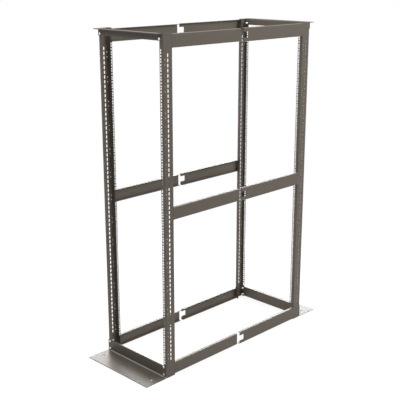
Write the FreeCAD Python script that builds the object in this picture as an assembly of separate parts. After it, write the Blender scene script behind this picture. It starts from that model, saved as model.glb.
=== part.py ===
import FreeCAD, Part
import os
from FreeCAD import Vector

# Four-post open frame rack: a front and a rear frame, each of two punched channel posts, a top
# angle and a floor angle, with split side rails between the two frames.
# X is the width, Y the depth (front at -Y), Z is up, millimetres. The floor is Z = 0.

# Overall
post_height = 1870.0
frame_depth = 1170.0  # over the outer flanges of a front and a rear post
fold_radius = 3.0  # outside radius of the posts' and rails' folds

# Posts: channels with the web outside and both flanges turned inwards
post_web = 63.5
post_gauge = 2.0
inner_flange = 31.0  # the flange turned towards the other frame
mount_width = 465.1  # between the left and right columns of mounting holes
mount_inset = 18.0  # from the web's face to the column
mount_hole = 9.5  # square, for cage nuts
mount_edge = 2.75  # metal between a hole and the outer flange's free edge
rack_unit = 44.45
unit_edge_hole = 6.35  # from a unit's edge to its first and last hole
mount_margin = 85.0  # least bare length of flange at each end

# Angles across the top and the floor of each frame, bolted outside the posts
angle_gauge = 4.0
angle_bend = 4.0  # inside radius
angle_bolt_hole = 9.0
top_reach = 38.0
top_drop = 38.0
top_bolt_drop = 28.0  # from the top of the frame to its bolts
base_reach = 150.0  # from the posts' faces to the floor plate's edge
base_rise = 70.0
base_bolt_low = 18.0  # above the floor
base_bolt_high = 62.0
anchor_hole = 14.0
anchor_reach = 76.0  # from the posts' faces to the anchor holes
anchor_inset = 42.5  # from the floor plate's ends to the anchor holes

# Side rails: the front half in line with the posts, to slide inside the larger, notched rear half
rail_gauge = 2.0
rail_rear_height = 74.0
rail_flange = 17.0
rail_fit = 0.5  # play between the two halves, all round
rail_inset = 41.0  # from the posts' ends to the centre of the top and bottom rails
rail_tab = 15.0  # turned in against the post at the rail's end
rail_gap = 20.0
rail_gap_shift = -1.5  # from mid-depth to the middle of the gap
notch_depth = 36.0
notch_height = 32.0

frame_width = mount_width + 2 * mount_inset  # over the webs of a left and a right post
post_flange = mount_inset + mount_hole / 2 + mount_edge
half_width = frame_width / 2
half_depth = frame_depth / 2
mid_height = post_height / 2


def rounded_run(points, radius):
    """Edges along a run of points, its right-angled corners rounded off."""
    edges = []
    start = points[0]
    for before, corner, after in zip(points, points[1:], points[2:]):
        arrive, depart = (corner - before).normalize(), (after - corner).normalize()
        enter, leave = corner - arrive * radius, corner + depart * radius
        edges.append(Part.LineSegment(start, enter).toShape())
        if radius:
            centre = enter + depart * radius
            middle = centre + (arrive - depart).normalize() * radius
            edges.append(Part.Arc(enter, middle, leave).toShape())
        start = leave
    return edges + [Part.LineSegment(start, points[-1]).toShape()]


def folded_sheet(outline, gauge, sweep, radius=fold_radius, inner_radius=0):
    """Sheet folded along an outline of its outer corners, each turning left by a right angle."""
    outer = [Vector(*p) for p in outline]
    runs = [(b - a).normalize() for a, b in zip(outer, outer[1:])]
    inner = [outer[0] + runs[1] * gauge]
    inner += [corner + (after - before) * gauge for corner, before, after in zip(outer[1:-1], runs, runs[1:])]
    inner.append(outer[-1] - runs[-2] * gauge)
    far_end = Part.LineSegment(outer[-1], inner[-1]).toShape()
    near_end = Part.LineSegment(inner[0], outer[0]).toShape()
    edges = rounded_run(outer, radius) + [far_end] + rounded_run(inner[::-1], inner_radius) + [near_end]
    return Part.Face(Part.Wire(edges)).extrude(Vector(*sweep))


def block(centre, size):
    """Box round a point, used as a square punch."""
    middle, extent = Vector(*centre), Vector(*size)
    return Part.makeBox(*size, middle - extent / 2)


def rod(centre, diameter, length, axis):
    """Cylinder round a point, used as a round punch."""
    return Part.makeCylinder(diameter / 2, length, Vector(*centre) - axis * (length / 2), axis)


def mount_heights():
    """Heights of the mounting holes, three to a unit, with one more past each end unit."""
    units = int((post_height - 2 * mount_margin) // rack_unit)
    first = mid_height - units * rack_unit / 2
    in_unit = (unit_edge_hole, rack_unit / 2, rack_unit - unit_edge_hole)
    heights = [first + unit * rack_unit + step for unit in range(units) for step in in_unit]
    return [first - unit_edge_hole] + heights + [first + units * rack_unit + unit_edge_hole]


def post():
    """Right-hand post with its web's face on X = 0 and its outer, punched flange's face on Y = 0."""
    outline = [(-post_flange, 0, 0), (0, 0, 0), (0, post_web, 0), (-inner_flange, post_web, 0)]
    sheet = folded_sheet(outline, post_gauge, (0, 0, post_height))
    bolts = [base_bolt_low, base_bolt_high, post_height - top_bolt_drop]
    punch = (mount_hole, 2 * post_gauge, mount_hole)
    punches = [block((-mount_inset, post_gauge / 2, z), punch) for z in mount_heights() + bolts]
    return sheet.cut(Part.makeCompound(punches))


def angle(outline, bolts):
    """Angle across the front frame, folded along an outline in Y and Z, with bolt holes at its ends."""
    corners = [(-half_width, y, z) for y, z in outline]
    sheet = folded_sheet(corners, angle_gauge, (frame_width, 0, 0), angle_bend + angle_gauge, angle_bend)
    leg = -half_depth - angle_gauge / 2
    punches = [rod((side * mount_width / 2, leg, z), angle_bolt_hole, 2 * angle_gauge, Vector(0, 1, 0))
               for side in (-1, 1) for z in bolts]
    return sheet.cut(Part.makeCompound(punches))


def top_angle():
    """Angle along the top of the front frame, its flat leg turned outwards."""
    outline = [(-half_depth, post_height - top_drop), (-half_depth, post_height),
               (-half_depth - top_reach, post_height)]
    return angle(outline, [post_height - top_bolt_drop])


def base_angle():
    """Angle along the floor of the front frame, with anchor holes in its wide floor plate."""
    outline = [(-half_depth - base_reach, 0), (-half_depth, 0), (-half_depth, base_rise)]
    anchors = [rod((side * (half_width - anchor_inset), -half_depth - anchor_reach, angle_gauge / 2),
                   anchor_hole, 2 * angle_gauge, Vector(0, 0, 1)) for side in (-1, 1)]
    return angle(outline, [base_bolt_low, base_bolt_high]).cut(Part.makeCompound(anchors))


def rail(height, length):
    """Right-hand rail along Y with its tab on Y = 0, its web's face on X = 0 and its centre on Z = 0."""
    top, bottom = height / 2, -height / 2
    profile = [(-rail_flange, 0, top), (0, 0, top), (0, 0, bottom), (-rail_flange, 0, bottom)]
    channel = folded_sheet(profile, rail_gauge, (0, length, 0))
    tab = block((-rail_tab / 2, rail_gauge / 2, 0), (rail_tab, rail_gauge, height - 2 * fold_radius))
    return channel.fuse(tab).removeSplitter()


def front_rail():
    """Plain-ended half, small enough to pass inside the rear half."""
    height = rail_rear_height - 2 * (rail_gauge + rail_fit)
    length = half_depth - post_web - rail_gap / 2 + rail_gap_shift
    return moved(rail(height, length), -rail_fit, 0, 0)


def rear_rail():
    """Half standing one gauge outside the posts' webs, its web notched at the free end."""
    length = half_depth - post_web - rail_gap / 2 - rail_gap_shift
    notch = block((-rail_gauge / 2, length - notch_depth / 2, 0), (2 * rail_gauge, notch_depth, notch_height))
    return moved(rail(rail_rear_height, length).cut(notch), rail_gauge, 0, 0)


def moved(shape, x, y, z):
    copy = shape.copy()
    copy.translate(Vector(x, y, z))
    return copy


def across(shape):
    """The left-hand twin of a right-hand piece."""
    return shape.mirror(Vector(0, 0, 0), Vector(1, 0, 0))


def behind(shape):
    """The rear twin of a front piece."""
    return shape.mirror(Vector(0, 0, 0), Vector(0, 1, 0))


def frames():
    """The posts and angles of the front frame, and their twins in the rear frame."""
    right_post = moved(post(), half_width, -half_depth, 0)
    front = {"right_post": right_post, "left_post": across(right_post),
             "top_angle": top_angle(), "base_angle": base_angle()}
    pieces = {"front_" + name: shape for name, shape in front.items()}
    pieces.update({"rear_" + name: behind(shape) for name, shape in front.items()})
    return pieces


def side_rails():
    """Three rails on each side, in two halves each, seated on the posts' inner flanges."""
    seat = half_depth - post_web
    levels = {"bottom": rail_inset, "middle": mid_height, "top": post_height - rail_inset}
    halves = {"front": moved(front_rail(), half_width, -seat, 0),
              "rear": behind(moved(rear_rail(), half_width, -seat, 0))}
    pieces = {}
    for level, z in levels.items():
        for end, half in halves.items():
            pieces["right_" + level + "_rail_" + end] = moved(half, 0, 0, z)
            pieces["left_" + level + "_rail_" + end] = moved(across(half), 0, 0, z)
    return pieces


os.makedirs("parts", exist_ok=True)
for name, shape in {**frames(), **side_rails()}.items():
    solid = shape.Solids[0]
    solid.exportStep("parts/" + name + ".step")
    print(name, "valid", solid.isValid(), "volume", round(solid.Volume))
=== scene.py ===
import math
import bpy
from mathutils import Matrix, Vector


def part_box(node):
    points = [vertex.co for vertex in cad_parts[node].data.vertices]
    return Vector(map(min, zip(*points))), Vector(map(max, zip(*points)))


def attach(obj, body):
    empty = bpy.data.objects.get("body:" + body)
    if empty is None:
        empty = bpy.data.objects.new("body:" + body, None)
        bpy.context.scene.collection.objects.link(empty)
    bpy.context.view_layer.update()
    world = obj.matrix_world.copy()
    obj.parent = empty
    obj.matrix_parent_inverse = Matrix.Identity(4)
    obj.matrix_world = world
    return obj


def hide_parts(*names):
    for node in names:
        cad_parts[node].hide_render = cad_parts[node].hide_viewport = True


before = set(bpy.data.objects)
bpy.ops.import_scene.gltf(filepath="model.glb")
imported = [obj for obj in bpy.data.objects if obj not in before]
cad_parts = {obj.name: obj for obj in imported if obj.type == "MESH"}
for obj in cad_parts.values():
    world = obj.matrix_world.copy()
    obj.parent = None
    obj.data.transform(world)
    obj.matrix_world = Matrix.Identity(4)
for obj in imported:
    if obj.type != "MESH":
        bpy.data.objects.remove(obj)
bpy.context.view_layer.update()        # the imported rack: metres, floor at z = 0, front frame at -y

scene = bpy.context.scene
mm = 0.001
slack = 0.1 * mm         # for telling one place from another
plainWhite = (1, 1, 1, 1)
print("rack loaded:", len(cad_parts), "nodes")


# small helpers for working by hand

def clearSelection():
    if bpy.context.mode != "OBJECT":
        bpy.ops.object.mode_set(mode="OBJECT")
    bpy.ops.object.select_all(action="DESELECT")


def makeActive(piece):
    clearSelection()
    piece.select_set(True)
    bpy.context.view_layer.objects.active = piece


def bakePlace():
    bpy.ops.object.transform_apply(location=True, rotation=True, scale=True)


def addBlock(name, centre, size):
    clearSelection()
    bpy.ops.mesh.primitive_cube_add(size=1, location=centre, scale=size)
    piece = bpy.context.object
    piece.name = name
    bakePlace()
    return piece


def selectIn(piece, kind, test):
    # edit mode selection by place: test gets each face, edge or vertex
    makeActive(piece)
    bpy.ops.object.mode_set(mode="EDIT")
    bpy.ops.mesh.select_mode(type=kind)
    bpy.ops.mesh.select_all(action="DESELECT")
    bpy.ops.object.mode_set(mode="OBJECT")
    mesh = piece.data
    group = {"VERT": mesh.vertices, "EDGE": mesh.edges, "FACE": mesh.polygons}[kind]
    for item in group:
        item.select = test(item)
    bpy.ops.object.mode_set(mode="EDIT")


def applyModifier(piece, kind, **settings):
    makeActive(piece)
    modifier = piece.modifiers.new(kind.title(), kind)
    for key, value in settings.items():
        setattr(modifier, key, value)
    bpy.ops.object.modifier_apply(modifier=modifier.name)


def joinPieces(pieces, name):
    clearSelection()
    for piece in pieces:
        piece.select_set(True)
    bpy.context.view_layer.objects.active = pieces[0]
    bpy.ops.object.join()
    pieces[0].name = name
    return pieces[0]


def repeatUp(piece, count, step):
    applyModifier(piece, "ARRAY", count=count, use_relative_offset=False,
                  use_constant_offset=True, constant_offset_displace=(0, 0, step))


def halfTurn(piece, name):
    makeActive(piece)
    bpy.ops.object.duplicate()
    copy = bpy.context.object
    copy.name = name
    bpy.ops.transform.rotate(value=math.pi, orient_axis="Z", center_override=(0, 0, 0))
    bakePlace()
    return copy


# nodes that the materials share

fullReach = (0, 1)       # of a noise


def addNoise(tree, place, scale, detail):
    noise = tree.nodes.new("ShaderNodeTexNoise")
    noise.inputs["Scale"].default_value = scale
    noise.inputs["Detail"].default_value = detail
    tree.links.new(place.outputs["Object"], noise.inputs["Vector"])
    return noise.outputs["Fac"]


def addTint(tree, amount, over):
    # a colour mixed over whatever is put in the node's A
    tint = tree.nodes.new("ShaderNodeMix")
    tint.data_type = "RGBA"
    tint.inputs["B"].default_value = over
    tree.links.new(amount, tint.inputs["Factor"])
    return tint


def addRange(tree, amount, reach, bounds):
    ranged = tree.nodes.new("ShaderNodeMapRange")
    for key, value in zip(("From Min", "From Max", "To Min", "To Max"), reach + bounds):
        ranged.inputs[key].default_value = value
    tree.links.new(amount, ranged.inputs["Value"])
    return ranged.outputs["Result"]


# the coat on every sheet piece: dark warm grey powder, semi-gloss

coatLook = {
    "colour": (0.088, 0.074, 0.058, 1),
    "paleColour": (0.098, 0.083, 0.066, 1),   # slow drift over the sheet
    "driftScale": 3.0,
    "driftDetail": 3,
    "roughness": (0.38, 0.46),
    "specular": 0.25,                         # a dull powder, less than smooth paint
    "peelScale": 900.0,                       # orange peel, about 1 mm
    "peelDetail": 2,
    "peelHeight": 0.02 * mm,
    "peelStrength": 0.12,
}


def makeCoat(name, look):
    coat = bpy.data.materials.new(name)
    coat.use_nodes = True
    tree = coat.node_tree
    shader = tree.nodes["Principled BSDF"]
    shader.inputs["Specular IOR Level"].default_value = look["specular"]
    place = tree.nodes.new("ShaderNodeTexCoord")
    drift = addNoise(tree, place, look["driftScale"], look["driftDetail"])
    tint = addTint(tree, drift, look["paleColour"])
    tint.inputs["A"].default_value = look["colour"]
    tree.links.new(tint.outputs["Result"], shader.inputs["Base Color"])
    gloss = addRange(tree, drift, fullReach, look["roughness"])
    tree.links.new(gloss, shader.inputs["Roughness"])
    peel = addNoise(tree, place, look["peelScale"], look["peelDetail"])
    bump = tree.nodes.new("ShaderNodeBump")
    bump.inputs["Strength"].default_value = look["peelStrength"]
    bump.inputs["Distance"].default_value = look["peelHeight"]
    tree.links.new(peel, bump.inputs["Height"])
    tree.links.new(bump.outputs["Normal"], shader.inputs["Normal"])
    return coat


# the floor angles: a painted highlight, a pale coat colour along the inside of the fold standing in
# for the light caught there

foldHighlight = {
    "middle": (0, 591.0 * mm, 6.0 * mm),      # of the fold, from the rack's middle and the floor
    "fade": (2.5 * mm, 5.5 * mm),             # out from there
    # the painted highlight's colour, laid along the inside fold
    "colour": (0.25, 0.244, 0.232, 1),
}


# paints the highlight along the fold into the coat's base colour
def paintFoldHighlight(coat, line):
    tree = coat.node_tree
    base = tree.nodes["Principled BSDF"].inputs["Base Color"]
    tint = base.links[0].from_socket
    place = tree.nodes.new("ShaderNodeTexCoord")
    last = place.outputs["Object"]
    steps = (("ABSOLUTE", None), ("SUBTRACT", line["middle"]),
             ("MULTIPLY", (0, 1, 1)), ("LENGTH", None))
    for operation, value in steps:  # how far from the fold, front or rear
        step = tree.nodes.new("ShaderNodeVectorMath")
        step.operation = operation
        tree.links.new(last, step.inputs[0])
        if value:
            step.inputs[1].default_value = value
        last = step.outputs["Value" if operation == "LENGTH" else "Vector"]
    # mask of the painted highlight: full at the fold, gone a few mm out
    highlightMask = addRange(tree, last, line["fade"], (1, 0))
    highlightTint = addTint(tree, highlightMask, line["colour"])
    tree.links.new(tint, highlightTint.inputs["A"])
    tree.links.new(highlightTint.outputs["Result"], base)


coat = makeCoat("powderCoat", coatLook)
# the floor angles' coat carries the painted highlight along the fold
highlightedFloorCoat = makeCoat("floorAngleCoatPaintedHighlight", coatLook)
paintFoldHighlight(highlightedFloorCoat, foldHighlight)
for name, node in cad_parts.items():
    node.data.materials.clear()
    node.data.materials.append(highlightedFloorCoat if "base_angle" in name else coat)
print("coat on the CAD pieces")


# posts: folded channels, punched in the flanges and down the web

postSheet = {
    "gauge": 2.0 * mm,
    "fold": 3.0 * mm,          # outside radius
    "foldSteps": 5,
    "outerFlange": 25.5 * mm,
    # the front right and rear left posts show a plain inner flange, the others a wide punched one
    "innerFlange": {"front_right_post": 25.5 * mm, "rear_right_post": 31.0 * mm},
    "punchDepth": 8.0 * mm,    # through the sheet and clear of both its faces
    "smoothAngle": 25,         # degrees
}
mountHoles = {
    "size": 9.5 * mm,
    "unit": 44.45 * mm,
    "units": 38,
    "inUnit": (6.35 * mm, 22.225 * mm, 38.1 * mm),
    "outerInset": 18.0 * mm,   # from the web's face
    "innerInset": 24.0 * mm,
}
boltPlaces = {
    "across": 232.55 * mm,     # from the middle of the rack
    "low": 18.0 * mm,
    "high": 62.0 * mm,
    "topDrop": 28.0 * mm,
}
webSlots = {
    "width": 8.6 * mm,
    "length": 18.8 * mm,
    "step": 25.4 * mm,
    "count": 66,
    # from the post's front edge, off the middle of the web
    "fromFront": {"front_right_post": 32.5 * mm, "rear_right_post": 34.0 * mm},
    "sides": 16,
}
webPins = {
    "width": 5.0 * mm,         # small holes in pairs beside the slots
    "spread": 25.4 * mm,
    "step": 133.35 * mm,
    "count": 13,
    "fromFront": 13.0 * mm,
    "drop": 8.0 * mm,          # below the middle of the post
    "sides": 10,
}


def foldChannel(node, low, high, outerSide):
    sheet = addBlock(node + "_punched", (low + high) / 2, high - low)
    selectIn(sheet, "FACE", lambda f: f.normal.x < -0.5 or abs(f.normal.z) > 0.5)
    bpy.ops.mesh.delete(type="FACE")
    bpy.ops.object.mode_set(mode="OBJECT")
    middle = (low.y + high.y) / 2
    flanges = ((outerSide, postSheet["outerFlange"]), (-outerSide, postSheet["innerFlange"][node]))
    for side, flange in flanges:
        selectIn(sheet, "VERT",
                 lambda v: v.co.x < high.x - slack and (v.co.y - middle) * side > 0)
        bpy.ops.transform.translate(value=(high.x - low.x - flange, 0, 0))
        bpy.ops.object.mode_set(mode="OBJECT")
    points = sheet.data.vertices
    selectIn(sheet, "EDGE", lambda e: all(points[i].co.x > high.x - slack for i in e.vertices)
             and abs(points[e.vertices[0]].co.z - points[e.vertices[1]].co.z) > slack)
    bpy.ops.mesh.bevel(offset=postSheet["fold"], segments=postSheet["foldSteps"], affect="EDGES")
    applyModifier(sheet, "SOLIDIFY", thickness=postSheet["gauge"], offset=-1, use_even_offset=True)
    return sheet


def boltHeights(low, high):
    return [low.z + boltPlaces["low"], low.z + boltPlaces["high"], high.z - boltPlaces["topDrop"]]


def squarePunch(x, y, z):
    size = (mountHoles["size"], postSheet["punchDepth"], mountHoles["size"])
    return addBlock("squarePunch", (x, y, z), size)


def mountPunches(low, high, x, y):
    span = mountHoles["units"] * mountHoles["unit"]
    first = (low.z + high.z - span) / 2
    column = [squarePunch(x, y, first + rise) for rise in mountHoles["inUnit"]]
    column = joinPieces(column, "mountPunches")
    repeatUp(column, mountHoles["units"], mountHoles["unit"])
    edge = mountHoles["inUnit"][0]
    ends = [first - edge, first + span + edge]   # one more hole past each end unit
    return [column] + [squarePunch(x, y, z) for z in ends]


def flangePunches(node, low, high, outerSide):
    outerY, innerY = (low.y, high.y) if outerSide < 0 else (high.y, low.y)
    outerX, innerX = high.x - mountHoles["outerInset"], high.x - mountHoles["innerInset"]
    punches = [squarePunch(outerX, outerY, z) for z in boltHeights(low, high)]
    punches += mountPunches(low, high, outerX, outerY)
    holeEdge = mountHoles["innerInset"] + mountHoles["size"] / 2
    if postSheet["innerFlange"][node] > holeEdge:   # no room for holes in a narrow one
        punches += mountPunches(low, high, innerX, innerY)
    return punches


def roundPunch(x, y, z, width, sides):
    clearSelection()
    bpy.ops.mesh.primitive_cylinder_add(vertices=sides, radius=width / 2,
                                        depth=postSheet["punchDepth"],
                                        location=(x, y, z), rotation=(0, math.pi / 2, 0))
    bakePlace()
    return bpy.context.object


def slotPunches(node, low, high):
    y, middle = low.y + webSlots["fromFront"][node], (low.z + high.z) / 2
    z = middle - (webSlots["count"] - 1) * webSlots["step"] / 2
    punch = roundPunch(high.x, y, z, webSlots["width"], webSlots["sides"])
    stretch = (webSlots["length"] - webSlots["width"]) / 2
    for sign in (1, -1):  # pull the two ends apart into a slot
        selectIn(punch, "VERT", lambda v: (v.co.z - z) * sign > slack)
        bpy.ops.transform.translate(value=(0, 0, sign * stretch))
        bpy.ops.object.mode_set(mode="OBJECT")
    repeatUp(punch, webSlots["count"], webSlots["step"])
    return punch


def pinPunches(low, high):
    y, middle = low.y + webPins["fromFront"], (low.z + high.z) / 2 - webPins["drop"]
    start = middle - ((webPins["count"] - 1) * webPins["step"] + webPins["spread"]) / 2
    pair = [roundPunch(high.x, y, start + lift, webPins["width"], webPins["sides"])
            for lift in (0, webPins["spread"])]
    pair = joinPieces(pair, "pinPunches")
    repeatUp(pair, webPins["count"], webPins["step"])
    return pair


def punchedPost(node, outerSide):
    low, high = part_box(node)
    post = foldChannel(node, low, high, outerSide)
    punches = flangePunches(node, low, high, outerSide)
    punches += [slotPunches(node, low, high), pinPunches(low, high)]
    punches = joinPieces(punches, "postPunches")
    applyModifier(post, "BOOLEAN", operation="DIFFERENCE", solver="EXACT", object=punches)
    bpy.data.objects.remove(punches)
    return post


def finishPost(post, node):
    makeActive(post)
    bpy.ops.object.shade_smooth_by_angle(angle=math.radians(postSheet["smoothAngle"]))
    applyModifier(post, "WEIGHTED_NORMAL", keep_sharp=True)
    post.data.materials.clear()
    post.data.materials.append(coat)
    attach(post, "root")
    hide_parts(node)


def buildPosts():
    # the left posts are the right ones turned round, so their slots stand off centre the other way
    front = punchedPost("front_right_post", -1)
    rear = punchedPost("rear_right_post", 1)
    posts = {"front_right_post": front, "rear_right_post": rear,
             "rear_left_post": halfTurn(front, "rear_left_post_punched"),
             "front_left_post": halfTurn(rear, "front_left_post_punched")}
    for node, piece in posts.items():
        finishPost(piece, node)
    print("posts punched:", len(front.data.polygons), "and", len(rear.data.polygons), "faces")


buildPosts()


# bolts: plated hexagon bolts through the angles and the posts' outer flanges

boltShape = {
    "flats": 13.0 * mm,        # across the head and the nut
    "head": 5.0 * mm,
    "nut": 6.5 * mm,
    "chamfer": 0.9 * mm,
    "chamferSteps": 2,
    "shank": 8.0 * mm,
    "length": 25.0 * mm,       # under the head
    "pitch": 1.25 * mm,
    "groove": 0.6 * mm,        # depth of the thread
    "sides": 16,
    "angleGauge": 4.0 * mm,    # what the head bears on
    "turns": (8, 41, 23, 54, 15, 33),   # degrees, as they were tightened
    "smoothAngle": 35,         # degrees
}
zincLook = {
    "colour": (0.82, 0.82, 0.80, 1),
    "dullColour": (0.68, 0.68, 0.67, 1),      # cloudy patches in the plating
    "patchScale": 160.0,
    "patchDetail": 3,
    "roughness": (0.30, 0.45),
    "metallic": 1.0,
}


def makeZinc(name, look):
    zinc = bpy.data.materials.new(name)
    zinc.use_nodes = True
    tree = zinc.node_tree
    shader = tree.nodes["Principled BSDF"]
    shader.inputs["Metallic"].default_value = look["metallic"]
    place = tree.nodes.new("ShaderNodeTexCoord")
    patches = addNoise(tree, place, look["patchScale"], look["patchDetail"])
    tint = addTint(tree, patches, look["dullColour"])
    tint.inputs["A"].default_value = look["colour"]
    tree.links.new(tint.outputs["Result"], shader.inputs["Base Color"])
    gloss = addRange(tree, patches, fullReach, look["roughness"])
    tree.links.new(gloss, shader.inputs["Roughness"])
    return zinc


def hexagon(name, centre, height):
    # a short six-sided bar along y, its rims chamfered
    clearSelection()
    bpy.ops.mesh.primitive_cylinder_add(vertices=6, radius=boltShape["flats"] / math.sqrt(3),
                                        depth=height, location=centre,
                                        rotation=(math.pi / 2, 0, 0))
    piece = bpy.context.object
    piece.name = name
    bakePlace()
    points = piece.data.vertices
    selectIn(piece, "EDGE",
             lambda e: abs(points[e.vertices[0]].co.y - points[e.vertices[1]].co.y) < slack)
    bpy.ops.mesh.bevel(offset=boltShape["chamfer"], segments=boltShape["chamferSteps"],
                       affect="EDGES")
    bpy.ops.object.mode_set(mode="OBJECT")
    return piece


def threadedShank(start, end):
    # rings drawn out along y, two to a turn, every second one pulled in for the thread's groove
    clearSelection()
    bpy.ops.mesh.primitive_circle_add(vertices=boltShape["sides"], radius=boltShape["shank"] / 2,
                                      fill_type="NGON", location=start,
                                      rotation=(math.pi / 2, 0, 0))
    shank = bpy.context.object
    bakePlace()
    bpy.ops.object.mode_set(mode="EDIT")
    bpy.ops.mesh.select_all(action="SELECT")
    steps = int(round((end - start).length / boltShape["pitch"] * 2))
    move = (end - start) / steps
    small = 1 - 2 * boltShape["groove"] / boltShape["shank"]
    for step in range(steps):
        bpy.ops.mesh.extrude_region_move(TRANSFORM_OT_translate={"value": move})
        size = small if step % 2 == 0 else 1 / small
        bpy.ops.transform.resize(value=(size, size, size),
                                 center_override=start + move * (step + 1))
    bpy.ops.mesh.select_all(action="SELECT")
    bpy.ops.mesh.normals_make_consistent(inside=False)
    bpy.ops.object.mode_set(mode="OBJECT")
    return shank


def buildBolt():
    # the front right post's low bolt, head to the front
    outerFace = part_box("front_right_post")[0].y
    seat = Vector((boltPlaces["across"], outerFace - boltShape["angleGauge"], boltPlaces["low"]))
    nutMiddle = outerFace + postSheet["gauge"] + boltShape["nut"] / 2
    head = hexagon("boltHead", seat - Vector((0, boltShape["head"] / 2, 0)), boltShape["head"])
    nut = hexagon("nut", Vector((seat.x, nutMiddle, seat.z)), boltShape["nut"])
    shank = threadedShank(seat, seat + Vector((0, boltShape["length"], 0)))
    return joinPieces([head, nut, shank], "modelBolt")


def finishBolt(bolt, zinc):
    makeActive(bolt)
    bpy.ops.object.shade_smooth_by_angle(angle=math.radians(boltShape["smoothAngle"]))
    bolt.data.materials.clear()
    bolt.data.materials.append(zinc)
    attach(bolt, "root")


def buildBolts():
    # a bolt of the front frame and its twin, half a turn round, in the rear frame
    zinc = makeZinc("boltZinc", zincLook)
    model = buildBolt()
    low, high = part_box("front_right_post")
    levels = list(zip(("low", "high", "top"), boltHeights(low, high)))
    sides = (("right", "left", 0), ("left", "right", -2 * boltPlaces["across"]))
    places = [(side, level) for side in sides for level in levels]
    for ((side, twinSide, shift), (level, z)), turn in zip(places, boltShape["turns"]):
        makeActive(model)
        bpy.ops.object.duplicate()
        bolt = bpy.context.object
        bolt.name = "front_" + side + "_" + level + "_bolt"
        bpy.ops.transform.rotate(value=math.radians(turn), orient_axis="Y",
                                 center_override=(boltPlaces["across"], 0, boltPlaces["low"]))
        bpy.ops.transform.translate(value=(shift, 0, z - boltPlaces["low"]))
        bakePlace()
        for piece in (bolt, halfTurn(bolt, "rear_" + twinSide + "_" + level + "_bolt")):
            finishBolt(piece, zinc)
    bpy.data.objects.remove(model)
    print("bolts in:", 2 * len(places))


buildBolts()


# white sweep, soft lights and the camera

studioLook = {
    "floorSize": 60.0,
    "floorDrop": 0.5 * mm,     # under the floor angles
    "paper": (0.85, 0.85, 0.85, 1),
    "paperRoughness": 0.9,
    "paperSpecular": 0.0,
    "shadowShare": 0.12,       # how much of the lit paper shows round the rack
    "shadowReach": (1.2, 2.4),   # metres out, where it fades into plain white
    "skyOnObject": 0.1,
}
softLights = [
    {"name": "keyRight", "place": (3.4, 3.4, 4.4), "aim": (0, 0, 0.9),
     "size": (3, 3), "watts": 342},
    {"name": "topLight", "place": (0, -0.5, 5.5), "aim": (0, 0, 0.9),
     "size": (4, 4), "watts": 95},
    {"name": "frontTop", "place": (-0.5, -2.5, 4.5), "aim": (0, 0, 0.9),
     "size": (3, 3), "watts": 148},
    {"name": "lowGlow", "place": (-1.8, 1.5, 1.0), "aim": (0, 0, 0.2),
     "size": (3.4, 1.3), "watts": 150},
]
photoView = {
    "place": (3.2204, -3.3154, 2.1777),
    "turn": 44.82,             # degrees round from the front
    "tip": 15.99,              # degrees down
    "lens": 73.04,
    "sensor": 36,
}


def whiteFor(tree, kind, plain, output):
    # white to the camera and in reflections, the plain shader to everything else
    nodes, links = tree.nodes, tree.links
    path = nodes.new("ShaderNodeLightPath")
    white = nodes.new(kind)
    white.inputs["Color"].default_value = plainWhite
    white.inputs["Strength"].default_value = 1.0
    mirrored = nodes.new("ShaderNodeMath")
    mirrored.operation = "MAXIMUM"
    links.new(path.outputs["Is Glossy Ray"], mirrored.inputs[0])
    links.new(path.outputs["Is Transmission Ray"], mirrored.inputs[1])
    seen = nodes.new("ShaderNodeMath")
    seen.operation = "MULTIPLY_ADD"
    seen.inputs[1].default_value = 1.0
    links.new(path.outputs["Is Camera Ray"], seen.inputs[0])
    links.new(mirrored.outputs[0], seen.inputs[2])
    mix = nodes.new("ShaderNodeMixShader")
    links.new(seen.outputs[0], mix.inputs[0])
    links.new(plain.outputs[0], mix.inputs[1])
    links.new(white.outputs[0], mix.inputs[2])
    links.new(mix.outputs[0], output.inputs["Surface"])
    return seen.inputs[1]   # the socket for how white the camera sees it


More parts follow.
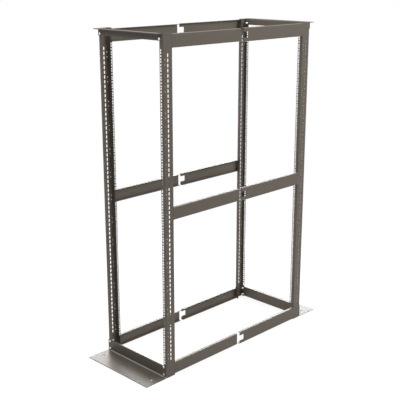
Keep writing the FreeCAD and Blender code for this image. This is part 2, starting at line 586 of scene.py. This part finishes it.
def keepShadow(tree, share):
    # near the rack a little of the lit paper shows, so its shadow does
    place = tree.nodes.new("ShaderNodeTexCoord")
    out = tree.nodes.new("ShaderNodeVectorMath")
    out.operation = "LENGTH"
    tree.links.new(place.outputs["Object"], out.inputs[0])
    whiteness = (1 - studioLook["shadowShare"], 1)
    fade = addRange(tree, out.outputs["Value"], studioLook["shadowReach"], whiteness)
    tree.links.new(fade, share)


def makeRoom():
    world = bpy.data.worlds.new("whiteRoom")
    scene.world = world
    world.use_nodes = True
    tree = world.node_tree
    sky = tree.nodes["Background"]
    sky.inputs["Color"].default_value = plainWhite
    sky.inputs["Strength"].default_value = studioLook["skyOnObject"]
    whiteFor(tree, "ShaderNodeBackground", sky, tree.nodes["World Output"])


def layFloor():
    clearSelection()
    bpy.ops.mesh.primitive_plane_add(size=studioLook["floorSize"],
                                     location=(0, 0, -studioLook["floorDrop"]))
    floor = bpy.context.object
    floor.name = "studioFloor"
    paper = bpy.data.materials.new("whitePaper")
    paper.use_nodes = True
    tree = paper.node_tree
    shader = tree.nodes["Principled BSDF"]
    shader.inputs["Base Color"].default_value = studioLook["paper"]
    shader.inputs["Roughness"].default_value = studioLook["paperRoughness"]
    shader.inputs["Specular IOR Level"].default_value = studioLook["paperSpecular"]
    share = whiteFor(tree, "ShaderNodeEmission", shader, tree.nodes["Material Output"])
    keepShadow(tree, share)
    floor.data.materials.append(paper)


def hangLights():
    for lamp in softLights:
        data = bpy.data.lights.new(lamp["name"], "AREA")
        data.shape = "RECTANGLE"
        data.size, data.size_y = lamp["size"]
        data.energy = lamp["watts"]
        light = bpy.data.objects.new(lamp["name"], data)
        light.location = lamp["place"]
        facing = Vector(lamp["aim"]) - light.location
        light.rotation_euler = facing.to_track_quat("-Z", "Y").to_euler()
        scene.collection.objects.link(light)
    print("studio lit")


def placeCamera():
    data = bpy.data.cameras.new("photoCamera")
    data.sensor_width = photoView["sensor"]
    data.lens = photoView["lens"]
    camera = bpy.data.objects.new("photoCamera", data)
    camera.location = photoView["place"]
    tip, turn = math.radians(90 - photoView["tip"]), math.radians(photoView["turn"])
    camera.rotation_euler = (tip, 0, turn)
    scene.collection.objects.link(camera)
    scene.camera = camera
    print("camera placed")


makeRoom()
layFloor()
hangLights()
placeCamera()
scene.view_settings.view_transform = "Standard"
